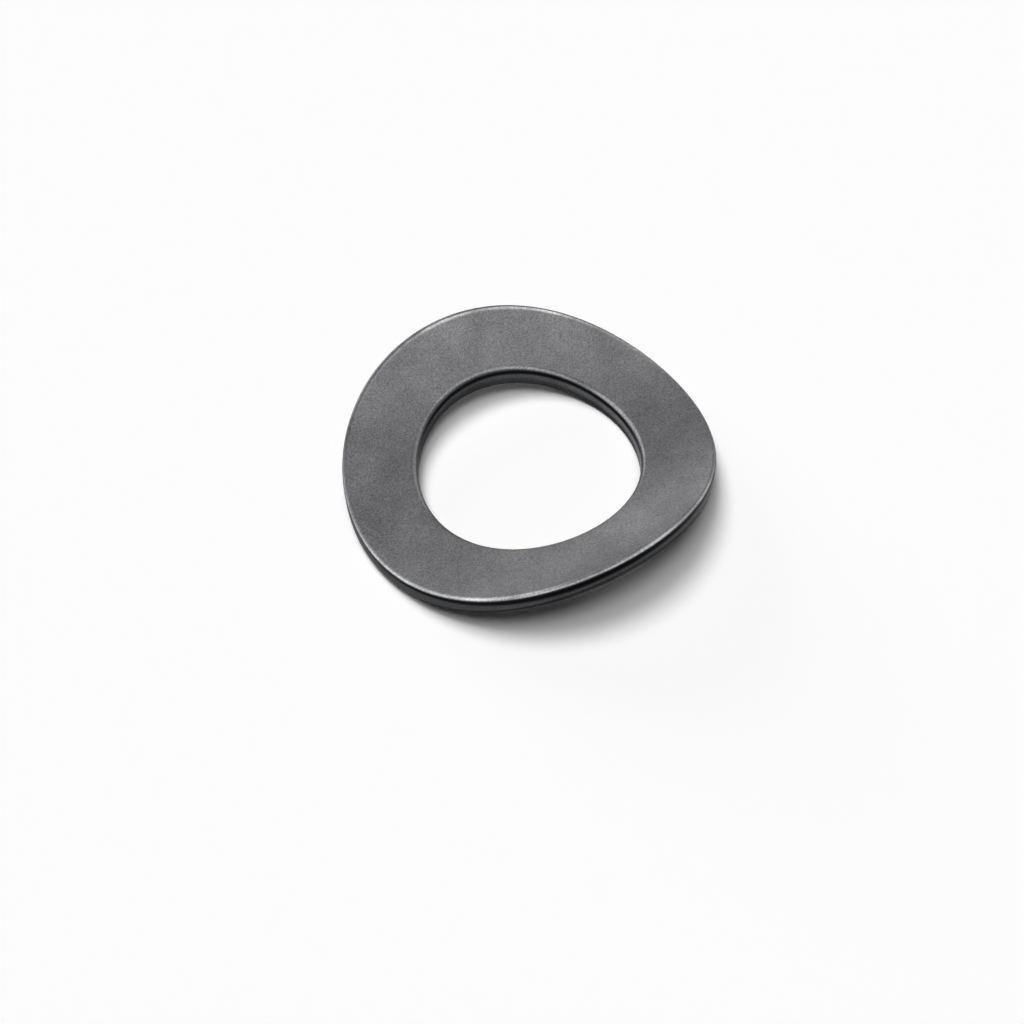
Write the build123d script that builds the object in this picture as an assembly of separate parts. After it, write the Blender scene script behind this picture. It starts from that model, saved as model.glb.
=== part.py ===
from build123d import *
from math import cos, pi, sin
import os

# Curved spring washer: a flat ring stamped from spring steel strip and bent once across its middle.
# The frame has +Z up through the hole, +X along the valley of the bend, and its origin in the middle
# of the hole, on the surface that the washer lies on.

# Driving dimensions, in millimetres
outside_diameter = 11.0      # along the bent strip, so it is the diameter of the flat ring
hole_diameter = 6.6          # seen straight down, the way the bolt goes through
thickness = 0.7              # of the strip
bend_radius = 10.0           # at mid thickness, where the strip keeps its length
hole_upper_round = 0.15      # on the side where the punch went in
hole_lower_round = 0.05      # on the side where the punch came out, nearly sharp
outline_upper_round = 0.10   # on the side where the cut ended, smooth from tumbling
outline_lower_round = 0.24   # on the side where the strip was drawn in before it was cut
outline_points = 24          # through which the spline of the outline runs

# The bend: every section across the valley is an arc about one line above the washer
bend_axis_height = bend_radius + thickness / 2
# The strip is a little longer than the ring, and the cuts reach well above the raised sides
strip_length = 1.2 * outside_diameter
cut_height = outside_diameter / 2
# No edge is rounded by more than this share of the strip, so that a wall is left between two of them
largest_round_share = 0.4


def bent_strip():
    """Tube about the bend's axis, whose lowest part is the strip. Its seam is at the top, off the ring."""
    seam_up = (0, -90, 0)
    outer_face = Cylinder(bend_radius + thickness / 2, strip_length, rotation=seam_up)
    inner_face = Cylinder(bend_radius - thickness / 2, strip_length, rotation=seam_up)
    return Pos(0, 0, bend_axis_height) * (outer_face - inner_face)


def outline_prism():
    """Straight prism over the outline, a circle that the bend has made narrower across the valley."""
    radius = outside_diameter / 2
    points = []
    for step in range(outline_points):
        angle = 2 * pi * step / outline_points
        across_flat = radius * sin(angle)
        points.append((radius * cos(angle), bend_radius * sin(across_flat / bend_radius), 0))
    outline = Wire([Edge.make_spline(points, periodic=True)])
    return extrude(Face(outline), amount=cut_height, dir=(0, 0, 1))


def stamped_edges(ring, of_hole, is_upper):
    """The edges round the hole or the outline, on the upper or the lower face, told by where they lie."""
    between = (outside_diameter + hole_diameter) / 2
    found = []
    for edge in ring.edges():
        box = edge.bounding_box()
        goes_round = edge.length > hole_diameter
        if goes_round and (box.size.X < between) == of_hole and (box.min.Z > thickness / 2) == is_upper:
            found.append(edge)
    return found


def washer():
    """The ring: the strip inside the outline, with a straight round hole and its edges rounded."""
    hole = Cylinder(hole_diameter / 2, cut_height, align=(Align.CENTER, Align.CENTER, Align.MIN))
    ring = (bent_strip() & outline_prism()) - hole
    rounds = (
        ("hole", "upper", hole_upper_round),
        ("hole", "lower", hole_lower_round),
        ("outline", "upper", outline_upper_round),
        ("outline", "lower", outline_lower_round),
    )
    for cut, side, radius in rounds:
        edges = stamped_edges(ring, cut == "hole", side == "upper")
        ring = fillet(edges, min(radius, largest_round_share * thickness))
    return ring


os.makedirs("parts", exist_ok=True)
export_step(washer(), "parts/washer.step")
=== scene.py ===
import math
from collections import namedtuple

import bpy
import numpy as np
from bpy.props import FloatProperty, FloatVectorProperty, IntProperty, PointerProperty
from mathutils import Matrix, Vector


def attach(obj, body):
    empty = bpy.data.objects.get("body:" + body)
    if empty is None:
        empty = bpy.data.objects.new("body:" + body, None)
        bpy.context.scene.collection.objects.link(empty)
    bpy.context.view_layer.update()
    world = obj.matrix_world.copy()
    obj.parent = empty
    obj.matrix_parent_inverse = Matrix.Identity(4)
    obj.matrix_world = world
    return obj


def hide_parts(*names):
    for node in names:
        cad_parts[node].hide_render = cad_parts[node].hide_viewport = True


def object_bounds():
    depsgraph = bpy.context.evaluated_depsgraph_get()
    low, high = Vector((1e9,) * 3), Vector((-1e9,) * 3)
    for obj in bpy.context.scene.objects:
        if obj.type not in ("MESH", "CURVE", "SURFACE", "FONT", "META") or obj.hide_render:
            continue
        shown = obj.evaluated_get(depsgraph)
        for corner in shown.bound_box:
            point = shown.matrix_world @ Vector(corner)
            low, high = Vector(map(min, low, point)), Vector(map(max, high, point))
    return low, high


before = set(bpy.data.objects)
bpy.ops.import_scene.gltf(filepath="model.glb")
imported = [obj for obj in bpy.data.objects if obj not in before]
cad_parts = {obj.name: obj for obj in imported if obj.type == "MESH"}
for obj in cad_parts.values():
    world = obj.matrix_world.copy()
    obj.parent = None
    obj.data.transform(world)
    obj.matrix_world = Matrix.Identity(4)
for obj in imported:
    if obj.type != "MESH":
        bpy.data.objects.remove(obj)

CAD_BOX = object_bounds()

bl_info = {
    "name": "Curved Spring Washer",
    "version": (1, 0, 0),
    "blender": (4, 5, 0),
    "location": "View3D > Sidebar > Washer",
    "description": "Builds a bent steel spring washer on its CAD frame, with a floor, lights and camera",
    "category": "Object",
}

MM = 0.001

# Rows of the section's grid: round one edge, down one wall and across one face. With the steps round the
# ring they keep the piece under 200,000 triangles
EDGE_ROWS = 10
WALL_ROWS = 14
FACE_ROWS = 30

# Patterns in the coat: clouds about 1.5 mm wide, and a grain of about 0.05 mm, drawn coarser than real so
# that it shows
CLOUDS_PER_METRE = 650.0
GRAINS_PER_METRE = 19000.0

# A band of a mark along the section. Its place is how far its middle lies from where a rounded upper edge
# starts, towards the wall, or from the middle of a rounded lower edge, and its width is half of what it
# covers, both in mm. Amount, place and width are each a pair: the value all round, and what is added at the
# lobe. The lobe is an angle round the ring from +X, in degrees, and fades with the fourth power of the cosine
# of the angle from there
Band = namedtuple("Band", "edge lobe amount place width")

# Where the coat is rubbed off the edges, with painted highlights laid on the same bands: wear and a painted
# highlight on the near rim, a painted highlight on the far rim, a painted reflection along the lower edge
# and, faintly, a painted reflection on the hole's wall on the right
RUBBED_AND_HIGHLIGHT = (
    Band("outline", 215, (0.18, 0.16), (0.11, -0.02), (0.043, 0.005)),
    Band("outline", 68, (0.0, 0.5), (-0.01, 0.0), (0.037, 0.0)),
    Band("low outline", 270, (0.1, 0.0), (0.0, 0.0), (0.1, 0.0)),
    Band("hole", 355, (0.0, 0.17), (0.44, 0.0), (0.13, 0.0)),
)
# Painted shade and painted dark reflections: the dark line under each upper edge, the left end of the outer
# wall, and low on both walls
PAINTED_SHADE = (
    Band("outline", 258, (0.85, 0.15), (0.175, 0.125), (0.075, 0.075)),
    Band("outline", 150, (0.0, 0.8), (0.36, 0.0), (0.27, 0.0)),
    Band("outline", 40, (0.0, 0.9), (0.10, 0.0), (0.055, 0.0)),
    Band("outline", 135, (0.0, 0.7), (0.08, 0.0), (0.055, 0.0)),
    Band("outline", 257, (0.8, 0.0), (0.64, 0.0), (0.06, 0.0)),
    Band("hole", 118, (1.0, 0.0), (0.248, 0.06), (0.092, 0.01)),
    Band("hole", 135, (0.0, 0.3), (0.04, 0.0), (0.06, 0.0)),
    Band("hole", 118, (0.5, 0.0), (0.72, 0.0), (0.2, 0.0)),
)

FLOOR_REACH = 0.5  # from the washer to each side of the floor

# The lamps are suns. Their bearing, from the right of the image, their height and the width of their disc are
# in degrees. The steel is all reflection and the floor all scatter, so each lamp is seen by only one of them
Lamp = namedtuple("Lamp", "name bearing height width strength seen_by")
LAMPS = (
    Lamp("key", 139, 71.2, 27, 2.03, "floor"),
    Lamp("fill", 269, 79, 31, 0.98, "floor"),
    Lamp("low", 132, 15, 30, 0.5, "floor"),
    Lamp("back_glint", 95, 7, 27.5, 0.36, "steel"),
    Lamp("right_glint", 25.7, 37, 69, 2.1, "steel"),
    Lamp("left_glint", 167, 18.4, 108, 6.6, "steel"),
    Lamp("near_glint", 291, 15, 103, 5.3, "steel"),
)

# The camera, fitted to the edges in the photo. In the view frame +X points to the right of the image and +Y
# away from the camera. Angles are in degrees. Lengths are in mm, from the image's middle to the washer's
VIEW_TURN = 31.996  # of the washer's +X from the view frame's +X
VIEW_ELEVATION = 54.055
VIEW_ROLL = 1.915
VIEW_SIDE = 0.5523
VIEW_UP = 1.2351
VIEW_DISTANCE = 47.637
CAMERA_SENSOR = 36
CAMERA_LENS = 56.43


def linear(hex_colour):
    """Turns an sRGB colour such as "#7C7C80" into linear red, green and blue."""
    parts = [int(hex_colour[i : i + 2], 16) / 255 for i in (1, 3, 5)]
    return tuple(c / 12.92 if c <= 0.04045 else ((c + 0.055) / 1.055) ** 2.4 for c in parts)


class WasherShape(bpy.types.PropertyGroup):
    """Sizes of the washer, which are those of the CAD part."""

    outside: FloatProperty(
        name="Outside Diameter", description="Of the flat ring, before it is bent",
        default=CAD_BOX[1].x - CAD_BOX[0].x, min=0.004, max=0.05, unit="LENGTH", precision=5)
    across: FloatProperty(
        name="Width Across", description="Across the valley, after the bend has made the ring narrower",
        default=2 * min(-CAD_BOX[0].y, CAD_BOX[1].y), min=0.004, max=0.05, unit="LENGTH", precision=5)
    hole: FloatProperty(
        name="Hole Diameter", description="Seen straight down",
        default=6.6 * MM, min=0.002, max=0.04, unit="LENGTH", precision=5)
    thickness: FloatProperty(
        name="Thickness", description="Of the strip", default=0.7 * MM, min=0.0002, max=0.003,
        unit="LENGTH", precision=5)
    bend_radius: FloatProperty(
        name="Bend Radius", description="At mid thickness", default=10.0 * MM, min=0.006, max=0.1,
        unit="LENGTH", precision=5)
    hole_upper_round: FloatProperty(
        name="Hole Upper Round", description="Where the punch went in", default=0.15 * MM, min=0.00002,
        max=0.0003, unit="LENGTH", precision=5)
    hole_lower_round: FloatProperty(
        name="Hole Lower Round", description="Where the punch came out", default=0.05 * MM, min=0.00002,
        max=0.0003, unit="LENGTH", precision=5)
    outline_upper_round: FloatProperty(
        name="Outline Upper Round", description="Where the cut ended", default=0.10 * MM, min=0.00002,
        max=0.0003, unit="LENGTH", precision=5)
    outline_lower_round: FloatProperty(
        name="Outline Lower Round", description="Where the strip was drawn in", default=0.24 * MM,
        min=0.00002, max=0.0003, unit="LENGTH", precision=5)
    around: IntProperty(
        name="Steps Around", description="Grid steps round the ring", default=720, min=96, max=1440)


class WasherFinish(bpy.types.PropertyGroup):
    """Colours of the phosphated steel, two of which are also laid on as painted highlights and painted shade.
    """

    face: FloatVectorProperty(
        name="Face", description="Colour of the flat faces", subtype="COLOR", min=0, max=1,
        default=linear("#545456"))
    # Bare steel, laid on where the coat is rubbed off and also as painted highlights and painted reflections
    rim: FloatVectorProperty(
        name="Rubbed Edge", description="Colour where the coat is rubbed off the rounded edges",
        subtype="COLOR", min=0, max=1, default=linear("#C2C2C4"))
    wall: FloatVectorProperty(
        name="Wall", description="Colour of the stamped wall", subtype="COLOR", min=0, max=1,
        default=linear("#424345"))
    # Near black, laid on as painted shade: the dark lines under the edges stand in for shade and reflections
    # of dark surroundings
    painted_dark_line: FloatVectorProperty(
        name="Under the Edge", description="Colour of the dark line under the upper edge",
        subtype="COLOR", min=0, max=1, default=linear("#0A0A0A"))
    roughness: FloatProperty(
        name="Roughness", description="Of the coat", default=0.34, min=0, max=1, subtype="FACTOR")
    rubbed_roughness: FloatProperty(
        name="Rubbed Roughness", description="Where the coat is rubbed off", default=0.2, min=0, max=1,
        subtype="FACTOR")


class StageLook(bpy.types.PropertyGroup):
    """Floor and light."""

    floor: FloatVectorProperty(
        name="Floor", description="Colour of the floor", subtype="COLOR", min=0, max=1,
        default=linear("#FEFEFE"))
    lamps: FloatProperty(
        name="Lamps", description="Strength of all lamps, where 1 shows a colour as it is written",
        default=1.0, min=0, max=4)
    sky: FloatProperty(
        name="Sky Light", description="Strength of the even light from all round", default=0.03, min=0, max=2)


def cut_line(shape, turn, is_outline):
    """Where a stamped wall stands in plan and which way it faces, each as two by steps.

    The hole is a circle. The outline is a circle whose lengths across the valley were bent to arcs: y is half
    the width across times the sine of the flat y over the bend radius, divided by that sine at the rim.
    """
    radius = (shape.outside if is_outline else shape.hole) / 2
    x, flat_y = radius * np.cos(turn), radius * np.sin(turn)
    if not is_outline:
        return np.stack([x, flat_y]), -np.stack([x, flat_y]) / radius
    bend = shape.bend_radius
    narrowed = shape.across / 2 / math.sin(radius / bend)
    slope = narrowed / bend * np.cos(flat_y / bend)
    faces = np.stack([slope * x, flat_y])
    return np.stack([x, narrowed * np.sin(flat_y / bend)]), faces / np.linalg.norm(faces, axis=0)


def axis_height(shape):
    """Height of the line above the washer about which both faces are cylinders."""
    return shape.bend_radius + shape.thickness / 2


def rounded_edge(shape, turn, is_outline, is_upper, ball):
    """Rows of one edge, from the face to the wall, as rows by three by steps.

    A ball rolls against the face and the straight wall, so its centre lies one ball radius from both. The
    rows lie on the ball, evenly from the point where it touches the face to the one on the wall.
    """
    at, faces = cut_line(shape, turn, is_outline)
    middle = at - ball * faces
    way = 1 if is_upper else -1
    reach = shape.bend_radius - way * (shape.thickness / 2 - ball)
    drop = np.sqrt(reach**2 - middle[1] ** 2)
    to_face = np.stack([0 * drop, -way * middle[1], way * drop]) / reach
    to_wall = np.stack([*faces, 0 * drop])
    angle = np.arccos(np.clip((to_face * to_wall).sum(axis=0), -1, 1))
    share = np.linspace(0, 1, EDGE_ROWS)[:, None, None]
    normal = (np.sin((1 - share) * angle) * to_face + np.sin(share * angle) * to_wall) / np.sin(angle)
    return np.stack([*middle, axis_height(shape) - drop]) + ball * normal


def wall_rows(first_edge, last_edge):
    """Rows down or up a straight wall, between the last rows of two edges and evenly spaced."""
    share = np.linspace(0, 1, WALL_ROWS + 2)[1:-1, None, None]
    return first_edge[-1] * (1 - share) + last_edge[-1] * share


def face_rows(shape, first_edge, last_edge, is_upper):
    """Rows over a face, between the first rows of two edges and on the cylinder of that face.

    Their spacing follows a cosine, so they lie closer near the edges, where the finish changes.
    """
    share = 0.5 - 0.5 * np.cos(np.pi * np.linspace(0, 1, FACE_ROWS + 2)[1:-1, None, None])
    rows = first_edge[0] * (1 - share) + last_edge[0] * share
    reach = shape.bend_radius + (-1 if is_upper else 1) * shape.thickness / 2
    rows[:, 2] = axis_height(shape) - np.sqrt(reach**2 - rows[:, 1] ** 2)
    return rows


def band_mark(bands, points, turn, starts):
    """Sum of bands as a value of 0 to 1 at every point, as rows by steps.

    Each band is its amount times e to the minus fourth power of a distance over its width. The distance is
    taken along the section from the band's middle, the shorter way round, because the section is closed.
    """
    hops = np.linalg.norm(np.roll(points, -1, axis=0) - points, axis=1)
    whole = hops.sum(axis=0)
    run = np.cumsum(hops, axis=0) - hops
    mark = np.zeros_like(run)
    for band in bands:
        row, way = starts[band.edge]
        near = np.maximum(np.cos(turn - math.radians(band.lobe)), 0) ** 4
        amount, place, width = (even + more * near for even, more in (band.amount, band.place, band.width))
        off = way * (run - run[row]) - place * MM
        off = (off + whole / 2) % whole - whole / 2
        mark += amount * np.exp(-((off / (width * MM)) ** 4))
    return np.clip(mark, 0, 1)


def ring_grid(shape):
    """Closed section of the ring carried round it, as rows by steps by three, and its marks by name.

    The section runs over the upper face, down the outer wall, back under the lower face and up the hole's
    wall, with a rounded edge at each of the four corners. The marks are values of 0 to 1 for the finish:
    "wall" goes from the faces to the walls on each edge, cubed so that it comes late, and the other two are
    sums of bands, one of wear on the edges together with painted highlights and painted reflections, one of
    painted shade and painted dark reflections.
    """
    turn = 2 * math.pi * np.arange(shape.around) / shape.around
    upper_out = rounded_edge(shape, turn, True, True, shape.outline_upper_round)
    lower_out = rounded_edge(shape, turn, True, False, shape.outline_lower_round)
    upper_in = rounded_edge(shape, turn, False, True, shape.hole_upper_round)
    lower_in = rounded_edge(shape, turn, False, False, shape.hole_lower_round)
    # Each stretch of rows, with how much of a wall its first and its last row are
    stretches = {
        "upper face": (face_rows(shape, upper_in, upper_out, True), 0, 0),
        "outline": (upper_out, 0, 1),
        "outer wall": (wall_rows(upper_out, lower_out), 1, 1),
        "low outline": (lower_out[::-1], 1, 0),
        "lower face": (face_rows(shape, lower_out, lower_in, False), 0, 0),
        "low hole": (lower_in, 0, 1),
        "inner wall": (wall_rows(lower_in, upper_in), 1, 1),
        "hole": (upper_in[::-1], 1, 0),
    }
    points = np.concatenate([rows for rows, _, _ in stretches.values()])
    ends = dict(zip(stretches, np.cumsum([len(rows) for rows, _, _ in stretches.values()])))
    # The row that a band is measured from, and whether the wall lies onwards (1) or back (-1) from there
    starts = {
        "outline": (ends["upper face"], 1),
        "low outline": (ends["outer wall"] + EDGE_ROWS // 2, 1),
        "hole": (ends["hole"] - 1, -1),
    }
    climb = np.concatenate([np.linspace(first, last, len(rows)) for rows, first, last in stretches.values()])
    marks = {
        "wall": np.outer(climb**3, np.ones(shape.around)),
        # Rubbed wear with painted highlights and reflections, and painted shade with painted dark reflections
        "rubbed_and_highlight": band_mark(RUBBED_AND_HIGHLIGHT, points, turn, starts),
        "dark": band_mark(PAINTED_SHADE, points, turn, starts),
    }
    return points.transpose(0, 2, 1), marks


def grid_mesh(name, points, marks):
    """Mesh of a grid that closes on itself both ways, with each mark kept as a point attribute."""
    rows, steps = points.shape[:2]
    row, step = np.meshgrid(np.arange(rows), np.arange(steps), indexing="ij")
    below, after = (row + 1) % rows * steps, (step + 1) % steps
    row = row * steps
    corners = np.stack([row + step, below + step, below + after, row + after], axis=-1)
    mesh = bpy.data.meshes.new(name)
    mesh.vertices.add(rows * steps)
    mesh.vertices.foreach_set("co", points.reshape(-1).astype(np.float32))
    mesh.loops.add(corners.size)
    mesh.loops.foreach_set("vertex_index", corners.reshape(-1).astype(np.int32))
    mesh.polygons.add(rows * steps)
    mesh.polygons.foreach_set("loop_start", np.arange(0, corners.size, 4, dtype=np.int32))
    mesh.update(calc_edges=True)
    mesh.polygons.foreach_set("use_smooth", np.ones(rows * steps, dtype=bool))
    for key, mark in marks.items():
        attribute = mesh.attributes.new(key, "FLOAT", "POINT")
        attribute.data.foreach_set("value", mark.reshape(-1).astype(np.float32))
    mesh.validate()
    return mesh


def add(tree, kind, place, inputs=None, **fields):
    """Adds one node at a place, sets its fields, and then sets each input or links it to a socket."""
    node = tree.nodes.new(kind)
    node.location = place
    for key, value in fields.items():
        setattr(node, key, value)
    for key, value in (inputs or {}).items():
        if isinstance(value, bpy.types.NodeSocket):
            tree.links.new(value, node.inputs[key])
        else:
            node.inputs[key].default_value = value
    return node


def phosphated_steel(finish):
    """Phosphated steel, which gives the eye a dark grey satin skin with fine grain, and bright edges that are
    worn bare and carry painted highlights, with painted shade in the dark lines.
    """
    material = bpy.data.materials.new("phosphated_steel")
    material.use_nodes = True
    tree = material.node_tree
    tree.nodes.clear()
    place = add(tree, "ShaderNodeTexCoord", (-1400, 0)).outputs["Object"]
    # The marks: how far a point is on a wall, painted shade with painted dark reflections, and rubbed wear
    # with painted highlights laid on the same edges
    wall, dark, rubbed_and_highlight = (
        add(tree, "ShaderNodeAttribute", (-1400, y), attribute_name=name).outputs["Fac"]
        for name, y in (("wall", 600), ("dark", 400), ("rubbed_and_highlight", 800))
    )

    # Clouds and grain, which make the coat lighter and darker
    clouds = add(tree, "ShaderNodeTexNoise", (-1100, 0), inputs={
        "Vector": place, "Scale": CLOUDS_PER_METRE, "Detail": 4.0, "Roughness": 0.6}).outputs["Fac"]
    grain = add(tree, "ShaderNodeTexNoise", (-1100, -300), inputs={
        "Vector": place, "Scale": GRAINS_PER_METRE, "Detail": 2.0}).outputs["Fac"]
    cloud_tone = add(tree, "ShaderNodeMapRange", (-850, 0), inputs={
        "Value": clouds, "From Min": 0.35, "From Max": 0.65, "To Min": 0.86, "To Max": 1.14}).outputs[0]
    grain_tone = add(tree, "ShaderNodeMapRange", (-850, -300), inputs={
        "Value": grain, "From Min": 0.3, "From Max": 0.7, "To Min": 0.68, "To Max": 1.32}).outputs[0]
    tone = add(tree, "ShaderNodeMath", (-600, -100), operation="MULTIPLY", inputs={
        0: cloud_tone, 1: grain_tone}).outputs[0]

    # The rubbing and the painted highlights laid with it are uneven along the edge, as tumbling leaves it,
    # and the rubbing polishes what it bares
    uneven = add(tree, "ShaderNodeMapRange", (-850, 1000), inputs={
        "Value": clouds, "From Min": 0.38, "From Max": 0.6, "To Min": 0.45, "To Max": 1.0}).outputs[0]
    bare_and_highlight = add(tree, "ShaderNodeMath", (-600, 800), operation="MULTIPLY", inputs={
        0: rubbed_and_highlight, 1: uneven}).outputs[0]
    smooth = add(tree, "ShaderNodeMapRange", (300, -100), inputs={
        "Value": bare_and_highlight, "To Min": finish.roughness, "To Max": finish.rubbed_roughness}).outputs[0]

    # The coat on the face turns to that on the stamped wall, then comes the dark line of painted shade, and
    # last the bare edge, which also carries the painted highlights
    on_wall = add(tree, "ShaderNodeMix", (-600, 500), data_type="RGBA", inputs={
        "Factor": wall, "A": (*finish.face, 1), "B": (*finish.wall, 1)}).outputs["Result"]
    in_painted_dark_line = add(tree, "ShaderNodeMix", (-350, 500), data_type="RGBA", inputs={
        "Factor": dark, "A": on_wall, "B": (*finish.painted_dark_line, 1)}).outputs["Result"]
    on_edge = add(tree, "ShaderNodeMix", (-100, 500), data_type="RGBA", inputs={
        "Factor": bare_and_highlight, "A": in_painted_dark_line, "B": (*finish.rim, 1)}).outputs["Result"]
    toned = add(tree, "ShaderNodeVectorMath", (300, 200), operation="SCALE", inputs={
        0: on_edge, "Scale": tone}).outputs[0]

    # The porous coat shines less than bare metal where it is seen at a low angle, the torn wall less still,
    # and the dark lines of painted shade least
    sheen = add(tree, "ShaderNodeMapRange", (300, 500), inputs={
        "Value": wall, "To Min": 0.7, "To Max": 0.62}).outputs[0]
    dull = add(tree, "ShaderNodeMix", (600, 500), data_type="FLOAT", inputs={
        "Factor": dark, "A": sheen, "B": 0.5}).outputs["Result"]

    bump = add(tree, "ShaderNodeBump", (500, -400), inputs={
        "Height": grain, "Strength": 0.25, "Distance": 0.01 * MM}).outputs[0]
    shader = add(tree, "ShaderNodeBsdfPrincipled", (900, 0), inputs={
        "Base Color": toned, "Metallic": 1.0, "Roughness": smooth, "Specular Tint": dull, "Normal": bump})
    add(tree, "ShaderNodeOutputMaterial", (1200, 0), inputs={"Surface": shader.outputs[0]})
    return material


def plain_floor(look):
    """Matte white board, which gives the eye an even white ground that keeps the washer's shadow."""
    material = bpy.data.materials.new("matte_white_board")
    material.use_nodes = True
    shader = material.node_tree.nodes["Principled BSDF"]
    shader.inputs["Base Color"].default_value = (*look.floor, 1)
    shader.inputs["Roughness"].default_value = 1.0
    shader.inputs["Specular IOR Level"].default_value = 0.0
    return material


def lay_floor(scene):
    """Lays a square floor under the washer."""
    corners = [(x * FLOOR_REACH, y * FLOOR_REACH, 0) for x, y in ((-1, -1), (1, -1), (1, 1), (-1, 1))]
    mesh = bpy.data.meshes.new("floor")
    mesh.from_pydata(corners, [], [(0, 1, 2, 3)])
    mesh.materials.append(plain_floor(scene.washer_stage))
    floor = bpy.data.objects.new("floor", mesh)
    scene.collection.objects.link(floor)


def view_to_part():
    """Turn from the view frame to that of the washer."""
    return Matrix.Rotation(-math.radians(VIEW_TURN), 4, "Z")


def hang_lamps(scene):
    """Hangs the lamps, whose directions are given in the view frame."""
    for each in LAMPS:
        light = bpy.data.lights.new(each.name, "SUN")
        light.energy = scene.washer_stage.lamps * each.strength
        light.angle = math.radians(each.width)
        lamp = bpy.data.objects.new(each.name, light)
        lamp.visible_diffuse = each.seen_by == "floor"
        lamp.visible_glossy = each.seen_by == "steel"
        flat, up = math.radians(each.bearing), math.radians(each.height)
        toward = Vector((math.cos(up) * math.cos(flat), math.cos(up) * math.sin(flat), math.sin(up)))
        lamp.rotation_euler = (view_to_part() @ toward).to_track_quat("Z", "Y").to_euler()
        scene.collection.objects.link(lamp)


def surround(scene):
    """Surrounds the washer with white for the camera and the reflections, and a faint sky for the floor."""
    world = bpy.data.worlds.new("studio")
    scene.world = world
    world.use_nodes = True
    tree = world.node_tree
    tree.nodes.clear()
    path = add(tree, "ShaderNodeLightPath", (-200, 300)).outputs
    seen = add(tree, "ShaderNodeMath", (100, 200), operation="MAXIMUM", inputs={
        0: path["Is Camera Ray"], 1: path["Is Glossy Ray"]}).outputs[0]
    through = add(tree, "ShaderNodeMath", (250, 200), operation="MAXIMUM", inputs={
        0: seen, 1: path["Is Transmission Ray"]}).outputs[0]
    sky = add(tree, "ShaderNodeBackground", (100, -50), inputs={
        "Color": (1, 1, 1, 1), "Strength": scene.washer_stage.sky}).outputs[0]
    white = add(tree, "ShaderNodeBackground", (100, -200), inputs={
        "Color": (1, 1, 1, 1), "Strength": 1.0}).outputs[0]
    mix = add(tree, "ShaderNodeMixShader", (400, 0), inputs={0: through, 1: sky, 2: white}).outputs[0]
    add(tree, "ShaderNodeOutputWorld", (600, 0), inputs={"Surface": mix})


def aim_camera(scene):
    """Sets the camera at the photo's angle, with the washer a little to the right and above the middle."""
    camera = bpy.data.cameras.new("camera")
    camera.sensor_width = CAMERA_SENSOR
    camera.lens = CAMERA_LENS
    camera.clip_start = MM
    elevation, roll = math.radians(VIEW_ELEVATION), math.radians(VIEW_ROLL)
    right = Vector((1, 0, 0))
    up = Vector((0, math.sin(elevation), math.cos(elevation)))
    ahead = Vector((0, math.cos(elevation), -math.sin(elevation)))
    image_x = math.cos(roll) * right - math.sin(roll) * up
    image_y = math.sin(roll) * right + math.cos(roll) * up
    pose = Matrix((image_x, image_y, -ahead)).transposed().to_4x4()
    washer_middle = Vector((0, 0, scene.washer_shape.thickness / 2))
    pose.translation = washer_middle - (VIEW_SIDE * right + VIEW_UP * up + VIEW_DISTANCE * ahead) * MM
    eye = bpy.data.objects.new("camera", camera)
    eye.matrix_world = view_to_part() @ pose
    scene.collection.objects.link(eye)
    scene.camera = eye


class BuildWasher(bpy.types.Operator):
    """Makes the bent ring with its rounded edges and takes the CAD washer's place with it"""

    bl_idname = "washer.build_ring"
    bl_label = "Build Washer"

    def execute(self, context):
        scene = context.scene
        points, marks = ring_grid(scene.washer_shape)
        mesh = grid_mesh("spring_washer", points, marks)
        mesh.materials.append(phosphated_steel(scene.washer_finish))
        ring = bpy.data.objects.new("spring_washer", mesh)
        scene.collection.objects.link(ring)
        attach(ring, "root")
        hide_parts("washer")
        return {"FINISHED"}


class BuildStage(bpy.types.Operator):
    """Lays the floor, hangs the light and sets the camera at the photo's angle"""

    bl_idname = "washer.build_stage"
    bl_label = "Build Stage"

    def execute(self, context):
        scene = context.scene
        lay_floor(scene)
        hang_lamps(scene)
        surround(scene)
        aim_camera(scene)
        scene.view_settings.view_transform = "Standard"
        return {"FINISHED"}


class WasherPanel(bpy.types.Panel):
    """Lists the steps and their settings"""

    bl_idname = "VIEW3D_PT_washer"
    bl_label = "Curved Spring Washer"
    bl_space_type = "VIEW_3D"
    bl_region_type = "UI"
    bl_category = "Washer"

    def draw(self, context):
        layout = self.layout
        scene = context.scene
        steps = (
            (BuildWasher, (scene.washer_shape, scene.washer_finish)),
            (BuildStage, (scene.washer_stage,)),
        )
        for step, settings in steps:
            for group in settings:
                for key in group.bl_rna.properties.keys():
                    if key not in {"rna_type", "name"}:
                        layout.prop(group, key)
            layout.operator(step.bl_idname)


CLASSES = (WasherShape, WasherFinish, StageLook, BuildWasher, BuildStage, WasherPanel)


def register():
    for each in CLASSES:
        bpy.utils.register_class(each)
    bpy.types.Scene.washer_shape = PointerProperty(type=WasherShape)
    bpy.types.Scene.washer_finish = PointerProperty(type=WasherFinish)
    bpy.types.Scene.washer_stage = PointerProperty(type=StageLook)


def unregister():
    del bpy.types.Scene.washer_stage
    del bpy.types.Scene.washer_finish
    del bpy.types.Scene.washer_shape
    for each in reversed(CLASSES):
        bpy.utils.unregister_class(each)


def main():
    register()
    bpy.ops.washer.build_ring()
    bpy.ops.washer.build_stage()


if __name__ == "__main__":
    main()
